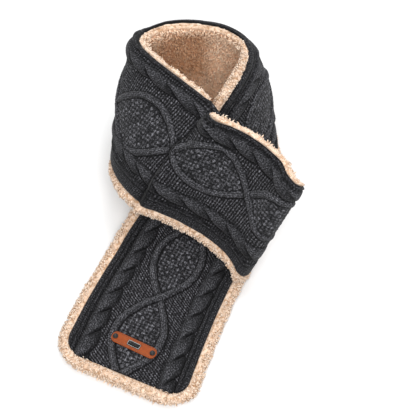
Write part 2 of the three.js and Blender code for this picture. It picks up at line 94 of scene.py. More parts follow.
# Sections of the strip: x, y, z of its middle; direction across it; knit width; how far the middle bulges.
STATIONS = np.array([
    (-79, -186, 7, -0.92, 0.4, 0, 124, 0),
    (-57, -128, 7, -0.9, 0.43, 0, 121, 0),
    (-40, -89, 7, -0.88, 0.47, 0, 118, 0),
    (-27, -63, 11, -0.87, 0.48, 0.04, 116, 0),
    (-11, -38, 20, -0.87, 0.45, 0.19, 110, 0),
    (5, -15, 31.5, -0.85, 0.34, 0.4, 107, 0),
    (20, 7, 44, -0.76, 0.17, 0.63, 107, 0),
    (34, 30, 54.5, -0.61, 0, 0.79, 110, 1),
    (44, 53, 64, -0.46, -0.1, 0.88, 116, 3),
    (50, 77, 68.8, -0.32, -0.15, 0.94, 119, 6),
    (50, 100, 69.6, -0.19, -0.17, 0.97, 120, 10),
    (46.5, 111, 70.8, -0.13, -0.17, 0.98, 120, 11.5),
    (40, 120.5, 71.4, -0.09, -0.16, 0.98, 120, 12.5),
    (31, 128, 71.3, -0.06, -0.14, 0.99, 120, 13),
    (20, 133, 71.3, -0.04, -0.11, 0.99, 120, 13),
    (-5, 136, 70.6, -0.01, -0.04, 1, 120, 13),
    (-31, 132, 70.6, 0.01, 0.05, 1, 120, 12),
    (-53, 122, 70, 0.04, 0.14, 0.99, 120, 12),
    (-70, 105, 74, 0.09, 0.21, 0.97, 120, 11),
    (-78, 84, 82, 0.2, 0.26, 0.94, 120, 9),
    (-75, 61, 90, 0.34, 0.31, 0.89, 120, 7),
    (-66, 39, 97, 0.46, 0.37, 0.81, 120, 4),
    (-52, 18, 101, 0.55, 0.42, 0.72, 120, 1.5),
    (-36, -3, 104, 0.6, 0.43, 0.68, 120, 0),
    (-29, -13, 102, 0.56, 0.35, 0.75, 120, 0),
    (-22, -20, 103, 0.45, 0.28, 0.85, 120, 0),
    (2, -29, 96, 0.43, 0.28, 0.86, 120, 0),
    (24, -42, 91, 0.43, 0.26, 0.87, 120, 0),
    (42, -60, 88, 0.41, 0.23, 0.89, 120, 0),
    (48, -71, 88, 0.37, 0.19, 0.91, 120, 0),
    (53, -75.4, 86, 0.37, 0.19, 0.91, 118, 0),
    (59.4, -74.9, 81.7, 0.37, 0.19, 0.91, 115, 0),
    (62.9, -70, 76.5, 0.37, 0.19, 0.91, 111, 0),
    (61, -63.5, 72.7, 0.37, 0.19, 0.91, 107, 0),
    (41.4, -46.1, 70.7, 0.43, 0.24, 0.87, 102, 0),
    (21.6, -28.2, 73.9, 0.46, 0.28, 0.84, 100, 0),
    (1, -13.5, 79.5, 0.47, 0.3, 0.83, 100, 0),
    (-16.2, -3.1, 85.8, 0.48, 0.34, 0.81, 100, 0),
])
ORIGIN = np.array([-27.1, -31.6, 0.0])
# Mesh steps of the knit: along the strip in front and round the back, across it, and where it is hidden.
FRONT, BACK, ACROSS, HIDDEN = ((0.6, 0.76, 0.65, 1.8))
# Stretches: name, from, to, the part that is seen, its mesh step, and how the cloth is held.
STRETCHES = [
    ("tail", 0, 150, (0, 150), FRONT, "laid"),
    ("through", 150, 228, (150, 170), FRONT, "folded"),
    ("right_panel", 228, 350, (228, 350), BACK, "folded"),
    ("nape", 350, 475, (350, 475), BACK, "folded"),
    ("left_panel", 475, 612, (475, 612), FRONT, "folded"),
    ("band_front", 612, 712, (612, 712), FRONT, "folded"),
    ("band_return", 712, 1e9, (712, 748), FRONT, "folded"),
]


# ------------------------ strip
class Strip:
    """The middle surface: a smooth curve through the stations, with direction across, gather and bulge."""

    WALK = 1600  # steps in which its length is measured

    def __init__(self, stations, origin):
        rows = stations.copy()
        rows[:, 3:6] /= np.linalg.norm(rows[:, 3:6], axis=1)[:, None]
        gaps = np.linalg.norm(np.diff(rows[:, :3], axis=0), axis=1)
        self.knots = np.concatenate([[0], np.cumsum(gaps)])
        self.rows, self.origin = rows, origin
        held = [False, False, True, False, False, True, False, False]
        self.slopes = np.stack([self.slope(rows[:, i], h) for i, h in enumerate(held)], axis=1)
        t = np.linspace(0, self.knots[-1], self.WALK + 1)
        path = self.value(t)[:, :3]
        s = np.concatenate([[0], np.cumsum(np.linalg.norm(np.diff(path, axis=0), axis=1))])
        self.length = s[-1]
        self.t, self.s = t, s

    def slope(self, y, held):
        """Slopes of one value at the stations; a held value doesn't overshoot between them."""
        h, n = np.diff(self.knots), len(y)
        d = np.diff(y) / h
        m = np.empty(n)
        m[0], m[-1] = d[0], d[-1]
        m[1:-1] = (h[1:] * d[:-1] + h[:-1] * d[1:]) / (h[:-1] + h[1:])
        if held:
            a, b = d[:-1], d[1:]
            both = np.where(np.abs(a + b) > 1e-12, a + b, 1)
            m[1:-1] = np.where(a * b <= 0, 0, 2 * a * b / both)
        return m

    def value(self, t):
        """Every value of the stations at t, the distance along the straight lines between them."""
        i = np.clip(np.searchsorted(self.knots, t, side="left") - 1, 0, len(self.knots) - 2)
        h = (self.knots[i + 1] - self.knots[i])[..., None]
        a = (t - self.knots[i])[..., None] / h
        b = 1 - a
        y, m = self.rows, self.slopes
        return (
            b * b * (1 + 2 * a) * y[i]
            + a * a * (3 - 2 * a) * y[i + 1]
            + h * (a * b * b * m[i] - a * a * b * m[i + 1])
        )

    def frame(self, s):
        """Centre, direction across, gather and bulge at s; straight on past either end."""
        inside = np.clip(s, 0, self.length)
        row = self.value(np.interp(inside, self.s, self.t))
        c = row[..., :3].copy()
        for end, sign in ((0.0, -1), (self.length, 1)):
            near = self.value(np.interp([end, end - sign * 0.5], self.s, self.t))[:, :3]
            along = (near[0] - near[1]) / np.linalg.norm(near[0] - near[1])
            over = np.maximum(sign * (s - end), 0)
            c += over[..., None] * along
        b = row[..., 3:6] / np.linalg.norm(row[..., 3:6], axis=-1, keepdims=True)
        return c, b, row[..., 6] / KNIT_WIDTH, row[..., 7]

    def middle(self, s, v):
        """Point of the middle surface."""
        c, b, _, bulge = self.frame(s)
        n = np.cross(self.frame(s + 0.5)[0] - self.frame(s - 0.5)[0], b)
        n /= np.linalg.norm(n, axis=-1, keepdims=True)
        return c + b * v[..., None] + n * (bulge * (1 - (v / HALF) ** 2))[..., None]

    def at(self, s, v, h):
        """Point h outside the middle surface, and the outward normal there."""
        p = self.middle(s, v)
        ds = self.middle(s + 0.6, v) - self.middle(s - 0.6, v)
        dv = self.middle(s, v + 0.6) - self.middle(s, v - 0.6)
        n = np.cross(ds, dv)
        n /= np.linalg.norm(n, axis=-1, keepdims=True)
        return p + n * h[..., None] - self.origin, n

    def half_at(self, s):
        """Half width of the knit, with the rounded corners at the end of the tail."""
        half = HALF * self.frame(np.maximum(s, 0))[2]
        back = np.clip(CORNER - s, 0, CORNER)
        return np.where(s > CORNER, half, half - CORNER + np.sqrt(CORNER**2 - back**2))


strip = Strip(STATIONS, ORIGIN)


# ------------------------ small helpers
def smooth(a, b, x):
    """Soft step from 0 at a to 1 at b."""
    t = np.clip((x - a) / (b - a), 0, 1)
    return t * t * (3 - 2 * t)


def bell(x, width):
    """Soft bump of height 1 round x = 0."""
    return np.exp(-((x / width) ** 2))


def lattice(cell, seed):
    """Pseudo-random number from 0 to 1 for each whole-number cell."""
    low = np.uint64(2**32 - 1)
    mixed = np.full(cell.shape[:-1], seed * 374761393 % 2**32, np.uint64)
    for axis, factor in enumerate((668265263, 2246822519, 3266489917)):
        if axis < cell.shape[-1]:
            number = cell[..., axis].astype(np.int64).astype(np.uint64)
            mixed = (mixed ^ (number * np.uint64(factor))) & low
            mixed = (mixed * np.uint64(2654435761)) & low
            mixed ^= mixed >> np.uint64(15)
    return mixed.astype(float) / 2**32


def noise(points, size, seed=1):
    """Smooth noise from -1 to 1 whose lumps are about size across."""
    q = points / size
    base = np.floor(q)
    f = q - base
    f = f * f * (3 - 2 * f)
    total = 0.0
    dims = points.shape[-1]
    for corner in range(2**dims):
        bits = np.array([(corner >> k) & 1 for k in range(dims)])
        weight = np.prod(np.where(bits, f, 1 - f), axis=-1)
        total = total + weight * lattice(base + bits, seed)
    return 2 * total - 1


# ------------------------ knit relief
def ribs_at(s):
    """Middle and half width of the diamond at s, the side whose rib is on top, and nearness to a crossing."""
    i = np.clip(np.searchsorted(CROSSINGS[:, 0], s, side="left") - 1, 0, len(CROSSINGS) - 2)
    a, b = CROSSINGS[i], CROSSINGS[i + 1]
    u = np.clip((s - a[..., 0]) / (b[..., 0] - a[..., 0]), 0, 1)
    mid = a[..., 1] + (b[..., 1] - a[..., 1]) * u + a[..., 3] * np.sin(np.pi * u) * (1 - u)
    half = a[..., 2] * np.sin(np.pi * u) ** 0.95
    on_top = np.where(u > 0.5, 1.0, -1.0)
    near = np.minimum(s - a[..., 0], b[..., 0] - s)
    return mid, half, on_top, bell(near, 9.0)


def stocking(along, across, column, row):
    """Columns of V-shaped stitches, 0 in the gaps to 1 on the yarn."""
    x = across / column
    x = np.abs(x - np.floor(x) - 0.5)  # 0 on the line between columns' legs, 0.5 at the column's edge
    leg = np.clip(0.5 - 0.5 * np.cos(4 * np.pi * x), 0, 1) ** 0.6
    ridge = 0.5 + 0.5 * np.cos(2 * np.pi * (along / row + 1.1 * x))
    return leg * (0.45 + 0.55 * ridge)


def uneven(a, b, seed):
    """Brightness of single stitches, 0.72 to 1.28, from their whole-number places."""
    return 0.72 + 0.56 * lattice(np.stack([np.round(a), np.round(b)], axis=-1), seed)


def purl(s, p):
    """The plain ground: rows of bumps, brick fashion, which lean on the tail and hardly elsewhere."""
    lean = 0.08 + 0.52 * smooth(190, 140, s)
    row = np.cos(2 * np.pi * (s - lean * p) / PURL_ROW)
    brick = np.cos(2 * np.pi * (0.5 * s / PURL_ROW + p / PURL_BUMP)) * np.cos(np.pi * s / PURL_ROW)
    return np.clip(0.5 + 0.38 * row + 0.34 * brick, 0, 1)


def moss(s, p):
    """Moss stitch: bumps high and low by turns, like a chequerboard, over small deep holes."""
    x, y = np.pi * s / MOSS_ROW, np.pi * p / MOSS_COLUMN
    turns = np.cos(x) * np.cos(y)
    each = 0.5 * (np.cos(2 * x) + np.cos(2 * y))
    return np.clip(0.62 + 0.19 * turns + 0.32 * each, 0, 1)


def turned_by(table, s):
    """Number of turns a cable has made at s."""
    before = np.minimum(s - table[0, 0], 0) / CABLE_PITCH
    after = np.maximum(s - table[-1, 0], 0) / CABLE_PITCH
    return np.interp(s, table[:, 0], table[:, 1]) + before + after


def cable(t, c):
    """A rope of two strands after t turns, with c from -1 at its lower edge to 1 at its upper.

    Each strand comes up with a sharp edge over the one before and dives under the next. Gives the height,
    0 to 1, the depth of the creases, and the place across with the edges' scallops taken out."""
    lower = 0.70 + 0.33 * np.sin(np.pi * (t - np.floor(t))) ** 0.7
    upper = 0.86 + 0.16 * np.sin(np.pi * (t + 0.35 - np.floor(t + 0.35))) ** 0.8
    x = np.where(c < 0, c / lower, c / upper)
    u = t + 0.42 * (c + 0.72)
    f = u - np.floor(u)
    sharp = smooth(0.6, -0.35, c)
    dome = np.clip(1 - np.abs(x) ** 2.3, 0, 1) ** 0.5
    high = dome * (1 - (0.2 + 0.42 * sharp) * f**2.2) * (0.72 + 0.28 * smooth(0, 0.13, f))
    crease = np.maximum(bell(np.maximum(0.97 - f, 0), 0.075), bell(f, 0.04))
    return high, crease * sharp, x


def ground_relief(s, p, mid, half):
    """Plain ground, with moss stitch inside the diamonds; its tone is painted darker between the stitches as
    shade.
    """
    ground = purl(s, p)
    h = GROUND - 0.85 + 1.15 * ground
    tone_and_painted_shade = 0.02 + 0.9 * ground * uneven(s / PURL_ROW, 2 * p / PURL_BUMP, 31)
    inside = smooth(0.2, 1.4, half - np.abs(p - mid) - RIB_WIDTH / 2 + 0.6)
    pebble = moss(s, p - mid)
    h += inside * (GROUND - 0.95 + 1.6 * pebble - h)
    tone_and_painted_shade += inside * (0.92 * pebble * uneven(s / MOSS_ROW, (p - mid) / MOSS_COLUMN, 32) - tone_and_painted_shade)
    return h, tone_and_painted_shade


def add_rib(h, tone_and_painted_shade, s, x, slope, lift):
    """A rib of stocking stitch, x away from its middle, sunk into the ground deeper on its lower side. Its
    flanks and the ditches beside it are darkened as painted shade, most on its lower side, and its upper side
    is painted lighter.
    """
    cosine = 1 / np.sqrt(1 + slope**2)
    r = RIB_WIDTH / 2 / cosine
    dome = np.clip(1 - (np.abs(x) / r) ** 2.6, 0, 1) ** 0.6
    knit = stocking(s / cosine, x * cosine, RIB_WIDTH / 2, STITCH_ROW)
    crown = GROUND - 0.6 + (RIB_HIGH - GROUND + 0.6 + lift) * dome + 0.75 * (knit - 0.5) * (dome > 0.2)
    on = (dome > 0) & (crown > h)
    low = bell(-x - r - 0.55, 0.85) * (x < -r)
    high = bell(x - r - 0.4, 0.6) * (x > r)
    # painted light: the crown darkens towards its flanks and is lighter on its upper side
    light = np.clip(dome**0.5 * (0.35 + 0.65 * knit), 0, 1) * (0.88 + 0.12 * np.clip(x / r, -1, 1))
    h = np.where(on, crown, h - 1.0 * low - 0.4 * high)
    # painted shade in the ditches beside the rib, deeper on its lower side
    return h, np.where(on, 0.12 + 0.96 * light, tone_and_painted_shade * (1 - 0.95 * low) * (1 - 0.5 * high))


def add_cable(h, tone_and_painted_shade, s, d, wide, turns):
    """A rope cable, d away from its middle, with a ditch on both sides. Its low parts, creases and ditches
    are darkened as painted shade, and its upper side is painted a little lighter.
    """
    c = d / wide
    rope, crease, x = cable(turns, c)
    on = smooth(1.0, 0.94, np.abs(x))
    # its stitches run along the strands, which lean by 38 degrees
    knit = stocking(0.79 * s - 0.615 * d, 0.615 * s + 0.79 * d, CABLE_COLUMN, CABLE_ROW)
    top = GROUND - 0.9 + 3.7 * rope + 0.55 * (knit - 0.5) - 1.5 * crease
    # painted shade: darker where the rope is low and in its creases, and lighter on the upper side
    dark = np.clip(0.38 + 0.62 * rope, 0, 1) * (1 - 0.97 * crease) * (0.93 + 0.09 * np.clip(c, -1, 1))
    low = bell(x + 1.09, 0.1)
    high = bell(x - 1.06, 0.07)
    h = h + on * (top - h) - (0.9 * low + 0.4 * high)
    tone_and_painted_shade = tone_and_painted_shade + on * (dark * (0.42 + 0.58 * knit) - tone_and_painted_shade)
    # painted shade in the ditches on both sides
    return h, tone_and_painted_shade * (1 - 0.92 * low) * (1 - 0.55 * high)


def add_border(h, tone_and_painted_shade, s, p, q):
    """The border where q is over 0: flat columns with a cord along their inner edge, beside a ditch. Its
    groove and the ditch are darkened as painted shade.
    """
    border = smooth(-1.4, -0.5, q)
    knit = stocking(s, q + 0.7, BORDER_COLUMN, STITCH_ROW)
    flat = BORDER_HIGH + 0.6 * (knit - 0.5) - 0.7 * smooth(HALF - 2.5, HALF, np.abs(p))
    groove = bell(q - 2.0, 0.6)
    cord = bell(q - 0.2, 0.9) - 0.9 * groove
    ditch = bell(q + 2.0, 0.8)
    h = h + border * (flat + 0.5 * cord - h) - 0.6 * ditch
    # painted shade in the groove and in the ditch
    tone_and_painted_shade = tone_and_painted_shade + border * (0.12 + 0.72 * knit - 0.4 * groove - tone_and_painted_shade)
    return h, tone_and_painted_shade * (1 - 0.6 * ditch)


def relief(s, p):
    """Height over the middle surface, and the knit's tone with painted shade: 0 between stitches, where the
    painted shade is deepest, 1 on the yarn.
    """
    along = s[:, 0]
    sp = np.stack([s, p], axis=-1)
    # the stitches wander a little
    s = s + 0.4 * noise(sp, 17, 3) + 0.45 * noise(sp, 4.2, 5)
    p = p + 0.4 * noise(sp, 21, 4) + 0.45 * noise(sp, 4.2, 6)
    mid, half, on_top, close = ribs_at(s)
    h, tone_and_painted_shade = ground_relief(s, p, mid, half)

    straight_mid, straight_half = ribs_at(along)[:2]
    slopes = {side: np.gradient(straight_mid + side * straight_half, along)[:, None] for side in (-1, 1)}
    for side, lift in ((-on_top, -0.5), (on_top, 0.55)):  # the rib underneath, then the one on top
        slope = np.clip(np.where(side > 0, slopes[1], slopes[-1]), -1.5, 1.5)
        h, tone_and_painted_shade = add_rib(h, tone_and_painted_shade, s, p - mid - side * half, slope, lift * close)

    creep = CREEP["by"] * smooth(CREEP["from"], CREEP["to"], s)
    slack = smooth(470, 520, s) * smooth(625, 600, s)  # the left panel's cables are narrower
    for centre, table in ((CABLE_AT, UPPER_TURNS), (-CABLE_AT, LOWER_TURNS)):
        wide = CABLE_WIDTH / 2 - 1.4 * slack
        h, tone_and_painted_shade = add_cable(h, tone_and_painted_shade, s, p - centre - creep, wide, turned_by(table, s))
    for q in (p - BORDER_FROM - creep, -p - BORDER_FROM + 0.8 * creep):
        h, tone_and_painted_shade = add_border(h, tone_and_painted_shade, s, p, q)

    # the cloth is stretched smooth where the band turns back
    h = GROUND + (h - GROUND) * (1 - 0.5 * smooth(704, 722, s) * smooth(765, 740, s))
    return h, np.clip(tone_and_painted_shade, 0, 1)


# ------------------------ folds and rolls of the cloth
# The crease where the left panel turns into the band: v, its s there, and how deep it is.
FOLD = np.array([
    (-60, 610, 4),
    (-45, 608, 5.5),
    (-28, 605, 4),
    (12, 603, 4),
    (34, 610, 5.5),
    (60, 620, 12),
], float)
# Where the band turns back on itself its lower corner reaches further down.
BAND_CORNER = {"s": 733.0, "spread": 14.0, "far": 14.0}


def corner_pull(s, v):
    """How far the cloth is pulled across, towards its lower edge, at the band's turn."""
    return -BAND_CORNER["far"] * bell(s - BAND_CORNER["s"], BAND_CORNER["spread"]) * smooth(-22, -62, v)


def fold(s, v):
    """Extra height beside the crease at the band, and the painted shade on the band's wall in the crease,
    stronger where the crease is deeper.

    The panel slopes down to it and the band rises sharply past it."""
    line = np.interp(v, FOLD[:, 0], FOLD[:, 1])
    deep = np.interp(v, FOLD[:, 0], FOLD[:, 2])
    d = s - line
    panel = -np.exp(np.minimum(d, 0) / 9.0)
    fading = np.exp(-np.maximum(d - 3.5, 0) / 14.0)
    band = -1 + 1.35 * smooth(0, 3.5, d) * fading + (1 - fading) * (d > 3.5)
    # painted shade where the band rises out of the crease
    shade = bell(d - 1.6, 2.4) * np.clip(deep / 5, 0, 1)
    return deep * np.where(d < 0, panel, band), shade


# How far the upper edge of each layer goes down at its rim, its roll and its tuck, from this far inside it
EDGE_DOWN = {"face": (1.2, 1.6, 4.5), "back": (0.6, 2.2, 5.0), "sherpa": (0.9, 2.4, 5.6)}
EDGE_REACH = 7.0


def edge_down(layer, s):
    """How far the upper edge of a layer goes down at s."""
    at_rim, at_roll, at_tuck = EDGE_DOWN[layer]
    return at_rim * rim(s) + at_roll * roll(s) + at_tuck * tuck(s)


def rim(s):
    """Round the back of the neck the knit's upper edge stands as high as the sherpa: 1 there, 0 elsewhere."""
    return smooth(300, 375, s) * smooth(515, 450, s)


def roll(s):
    """At the left of the neck the knit's upper edge is fuller: 1 there, 0 elsewhere."""
    return smooth(458, 478, s) * smooth(545, 510, s)


def tuck(s):
    """Where the panel dives under the band the knit closes over the sherpa: 1 there, 0 elsewhere."""
    return smooth(596, 602, s) * smooth(620, 614, s)


# ------------------------ meshes
def add_object(name, data):
    """A new object in the scene for a mesh, curve, light or camera."""
    thing = bpy.data.objects.new(name, data)
    bpy.context.collection.objects.link(thing)
    return thing


def give_values(mesh, values):
    """Numbers for each point of a mesh, read by its material."""
    for key, value in values.items():
        layer = mesh.attributes.new(key, "FLOAT", "POINT")
        layer.data.foreach_set("value", value.astype(np.float32))


def make_mesh(name, points, faces, values=None, uv=None):
    """A piece from points in millimetres and arrays of faces, with values and a UV for each point."""
    mesh = bpy.data.meshes.new(name)
    loops = np.concatenate([f.ravel() for f in faces]).astype(np.int32)
    sizes = np.concatenate([np.full(len(f), f.shape[1]) for f in faces]).astype(np.int32)
    mesh.vertices.add(len(points))
    mesh.vertices.foreach_set("co", (points * MM).astype(np.float32).ravel())
    mesh.loops.add(len(loops))
    mesh.loops.foreach_set("vertex_index", loops)
    mesh.polygons.add(len(sizes))
    mesh.polygons.foreach_set("loop_start", np.concatenate([[0], np.cumsum(sizes)[:-1]]).astype(np.int32))
    mesh.polygons.foreach_set("loop_total", sizes)
    mesh.update(calc_edges=True)
    mesh.validate()
    give_values(mesh, values or {})
    if uv is not None:
        layer = mesh.uv_layers.new(name="strip")
        layer.data.foreach_set("uv", uv[loops].astype(np.float32).ravel())
    mesh.polygons.foreach_set("use_smooth", np.full(len(sizes), True))
    return add_object(name, mesh)


def grid_faces(rows, cols, start=0):
    """Quads of a grid of points, whose first point has the number start."""
    i = np.arange(rows - 1)[:, None] * cols + np.arange(cols - 1)[None, :] + start
    return np.stack([i, i + cols, i + cols + 1, i + 1], axis=-1).reshape(-1, 4)


def knit_rows(s0, s1, clear, along):
    """Where a stretch's mesh has rows: in steps of along in the clear part, wider where it lies hidden."""
    parts = []
    for a, b, step in ((s0, clear[0], HIDDEN), (clear[0], clear[1], along), (clear[1], s1, HIDDEN)):
        a, b = max(a, s0), min(b, s1)
        if b > a:
            parts.append(np.linspace(a, b, int(round((b - a) / step)) + 1)[1 if parts else 0 :])
    rows = np.concatenate(parts)
    if s0 > 0:
        return rows
    return np.concatenate([[0, 0.06, 0.2], rows[rows > 0.3]])  # the tail's round corners widen fast


def under_tab(s, v, h):
    """The knit's height h, pressed flat under the tab."""
    bed = smooth(TAB_BED["wide"] / 2, TAB["wide"] / 2, np.abs(s - TAB["s"]))
    bed = bed * smooth(TAB_BED["long"] / 2 + 2, TAB_BED["long"] / 2 - 2, np.abs(v - TAB["v"]))
    return h + bed * (np.minimum(h, TAB_BED["high"]) - h)


def grid_places(rows, across):
    """Places of a grid over the knit, distance to its edges, and nearness to the upper edge."""
    limit = strip.half_at(rows)[:, None]
    s = np.repeat(rows[:, None], len(across), axis=1)
    v = across[None, :] * limit
    return s, v, limit - np.abs(v), smooth(EDGE_REACH, 0, limit - v)


def knit_face(rows, on_tail):
    """The face with its stitches: points, their tone with painted shade between the stitches, and their
    places.
    """
    across = np.linspace(-1, 1, int(round(KNIT_WIDTH / ACROSS)) + 1)
    s, v, inside, upper = grid_places(rows, across)
    h, tone_and_painted_shade = relief(s, v / strip.frame(rows)[2][:, None])
    if on_tail:
        inside = np.minimum(inside, s)
    h = h - 1.1 * smooth(2.2, 0, inside)  # the edges roll down into the sherpa
    if on_tail:
        h = under_tab(s, v, h)
    rise, shade = fold(s, v)
    h += rise + 3.2 * roll(s) * smooth(30, 50, v)
    h -= edge_down("face", s) * upper**2
    v_out = v + (1.3 * rim(s) + 0.4 * tuck(s)) * upper + corner_pull(s, v)
    # the tone is darkened by painted shade in the crease at the band
    return strip.at(s, v_out, h)[0], tone_and_painted_shade * (1 - 0.85 * shade), s, v


def knit_back(rows):
    """The plain back: points and their places. Its columns are closest at the upper edge, which rolls."""
    across = np.concatenate([np.linspace(-1, 0.85, 15), [0.89, 0.92, 0.95, 0.98, 1.0]])
    s, v, _, upper = grid_places(rows, across)
    h = BACK_HIGH + fold(s, v)[0] - edge_down("back", s) * upper**2
    return strip.at(s, v + rim(s) * upper + corner_pull(s, v), h)[0], s, v


def wall_faces(n, m, k):
    """Faces of a closed wall: n rows of m points in front, followed by n rows of k points behind."""
    behind = n * m
    a = np.arange(n - 1)[:, None]
    b = a + 1
    right = np.hstack([a * m + m - 1, b * m + m - 1, behind + b * k + k - 1, behind + a * k + k - 1])
    left = np.hstack([b * m, a * m, behind + a * k, behind + b * k])
    start = np.concatenate([np.arange(m), behind + np.arange(k)[::-1]])[None, :]
    last_front, last_back = (n - 1) * m + np.arange(m)[::-1], behind + (n - 1) * k + np.arange(k)
    last = np.concatenate([last_front, last_back])[None, :]
    return [grid_faces(n, m), grid_faces(n, k, behind)[:, ::-1], right, left, start, last]


def knit_piece(name, s0, s1, clear, along):
    """One stretch of knit: a face with its stitches over a plain back, closed all round."""
    rows = knit_rows(s0, min(s1, strip.length), clear, along)
    face, tone_and_painted_shade, s, v = knit_face(rows, s0 <= 0)
    back, s_back, v_back = knit_back(rows)
    points = np.concatenate([face.reshape(-1, 3), back.reshape(-1, 3)])
    # the face's tone carries painted shade between the stitches; the hidden back gets one plain value
    knit_tone_and_shade = np.concatenate([tone_and_painted_shade.ravel(), np.full(s_back.size, 0.2)])
    uv = np.concatenate([np.stack([a.ravel(), b.ravel()], -1) for a, b in ((s, v), (s_back, v_back))])
    faces = wall_faces(len(rows), s.shape[1], s_back.shape[1])
    return make_mesh("knit_" + name, points, faces, values={"tone_and_painted_shade": knit_tone_and_shade}, uv=uv * MM)


PILE_INSET = 1.9  # the backing lies this far under the fur's surface


def even_copy(name, source):
    """A new piece in a solid's form, remeshed evenly and relaxed."""
    piece = add_object(name, source.data.copy())
    piece.data.materials.clear()
    remesh = piece.modifiers.new("even", "REMESH")
    remesh.mode = "VOXEL"
    remesh.voxel_size = 2.3 * MM
    relax = piece.modifiers.new("relax", "SMOOTH")
    relax.factor, relax.iterations = 0.5, 5
    evaluated = piece.evaluated_get(bpy.context.evaluated_depsgraph_get())
    mesh = bpy.data.meshes.new_from_object(evaluated)
    piece.modifiers.clear()
    old, piece.data = piece.data, mesh
    bpy.data.meshes.remove(old)
    return piece


def inside_tone(s, v, h):
    """How far a point lies inside the ring, and a zone inside it at the back of the neck that is painted
    darker as shade.
    """
    inner = smooth(-2.5, -6.0, h) * smooth(63, 52, v)
    # painted shade: a darker zone on the inside at the back of the neck
    painted_shade_zone = smooth(386, 408, s) * smooth(480, 430, s) * smooth(-50, -12, v) * smooth(54, 38, v)
    return inner, inner * painted_shade_zone


def lining_piece(name, s0, s1):
    """The sherpa's backing: the lining's own form, drawn in under its pile and slightly lumpy."""
    piece = even_copy("lining_" + name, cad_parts[name + "_lining"])
    mesh = piece.data
    co, no = vertex_arrays(mesh)
    lumps = 1.0 * noise(co, 4.5, 11) + 0.5 * noise(co, 2.4, 12)
    s, v, h, up, ahead = strip_places(co, s0, s1)
    half = strip.half_at(np.maximum(s, 0))
    lip = smooth(3.8, 1.5, np.abs(v) - half)  # a smooth lip beside the knit
    # neighbouring backings meet: their ends are not drawn in, and are filled out to the seam
    ends = (no * ahead).sum(1)
    joined = ((ends < 0) & (s0 > 0) & (s < s0 + 5)) | ((ends > 0) & (s1 < strip.length) & (s > s1 - 5))
    meet = np.where(joined, np.sign(ends) * smooth(0.05, 0.6, np.abs(ends)), 0)
    out = (lumps - PILE_INSET) * (1 - 0.75 * lip) * (1 - np.abs(meet))
    co += no * out[:, None] + up * fold(s, v)[0][:, None]
    co += ahead * (1.3 * meet)[:, None]
    # at the back of the neck and under the band the knit closes over it
    inwards = (0.5 * rim(s) + 0.9 * tuck(s)) * np.maximum(v - half + 3, 0)
    co += np.cross(up, ahead) * (corner_pull(s, v) - inwards)[:, None]
    drop = 0.5 + edge_down("sherpa", s) * smooth(EDGE_REACH, 0, half - v) ** 2
    held = np.minimum(rim(s) + tuck(s), 1)
    co -= up * (held * np.maximum(h + drop, 0) * (v > half - 9))[:, None]
    co[:, 2] = np.maximum(co[:, 2], 0.02)
    mesh.vertices.foreach_set("co", (co * MM).astype(np.float32).ravel())
    mesh.polygons.foreach_set("use_smooth", np.full(len(mesh.polygons), True))
    inner, deep = inside_tone(s, v, h)
    # the backing's tone follows its lumps: darker where they sink, as painted shade in the hollows
    give_values(mesh, {"tip": np.clip(0.25 + 0.3 * lumps, 0, 1), "inner": inner, "deep": deep})
    mesh.update()
    return piece


def vertex_arrays(mesh):
    """Points and normals of a mesh, in millimetres."""
    n = len(mesh.vertices)
    co, no = np.empty(n * 3, np.float32), np.empty(n * 3, np.float32)
    mesh.vertices.foreach_get("co", co)
    mesh.vertex_normals.foreach_get("vector", no)
    return co.reshape(-1, 3).astype(float) / MM, no.reshape(-1, 3).astype(float)


def surface_points(piece, count, rng):
    """Random points spread evenly over a mesh, with their normals, in millimetres."""
    mesh = piece.data
    mesh.calc_loop_triangles()
    tri = np.empty(len(mesh.loop_triangles) * 3, np.int32)
    mesh.loop_triangles.foreach_get("vertices", tri)
    tri = tri.reshape(-1, 3)
    co, no = vertex_arrays(mesh)
    a, b, c = co[tri[:, 0]], co[tri[:, 1]], co[tri[:, 2]]
    area = np.linalg.norm(np.cross(b - a, c - a), axis=1) / 2
    # even spacing: one point for each equal share of the running area
    steps = (np.arange(count) + rng.random(count)) / count * area.sum()
    pick = np.searchsorted(np.cumsum(area), steps).clip(0, len(tri) - 1)
    r1, r2 = np.sqrt(rng.random(count)), rng.random(count)
    w = np.stack([1 - r1, r1 * (1 - r2), r1 * r2], 1)[:, :, None]
    corner = tri[pick]
    p = (co[corner] * w).sum(1)
    n = (no[corner] * w).sum(1)
    return p, n / np.linalg.norm(n, axis=1)[:, None]


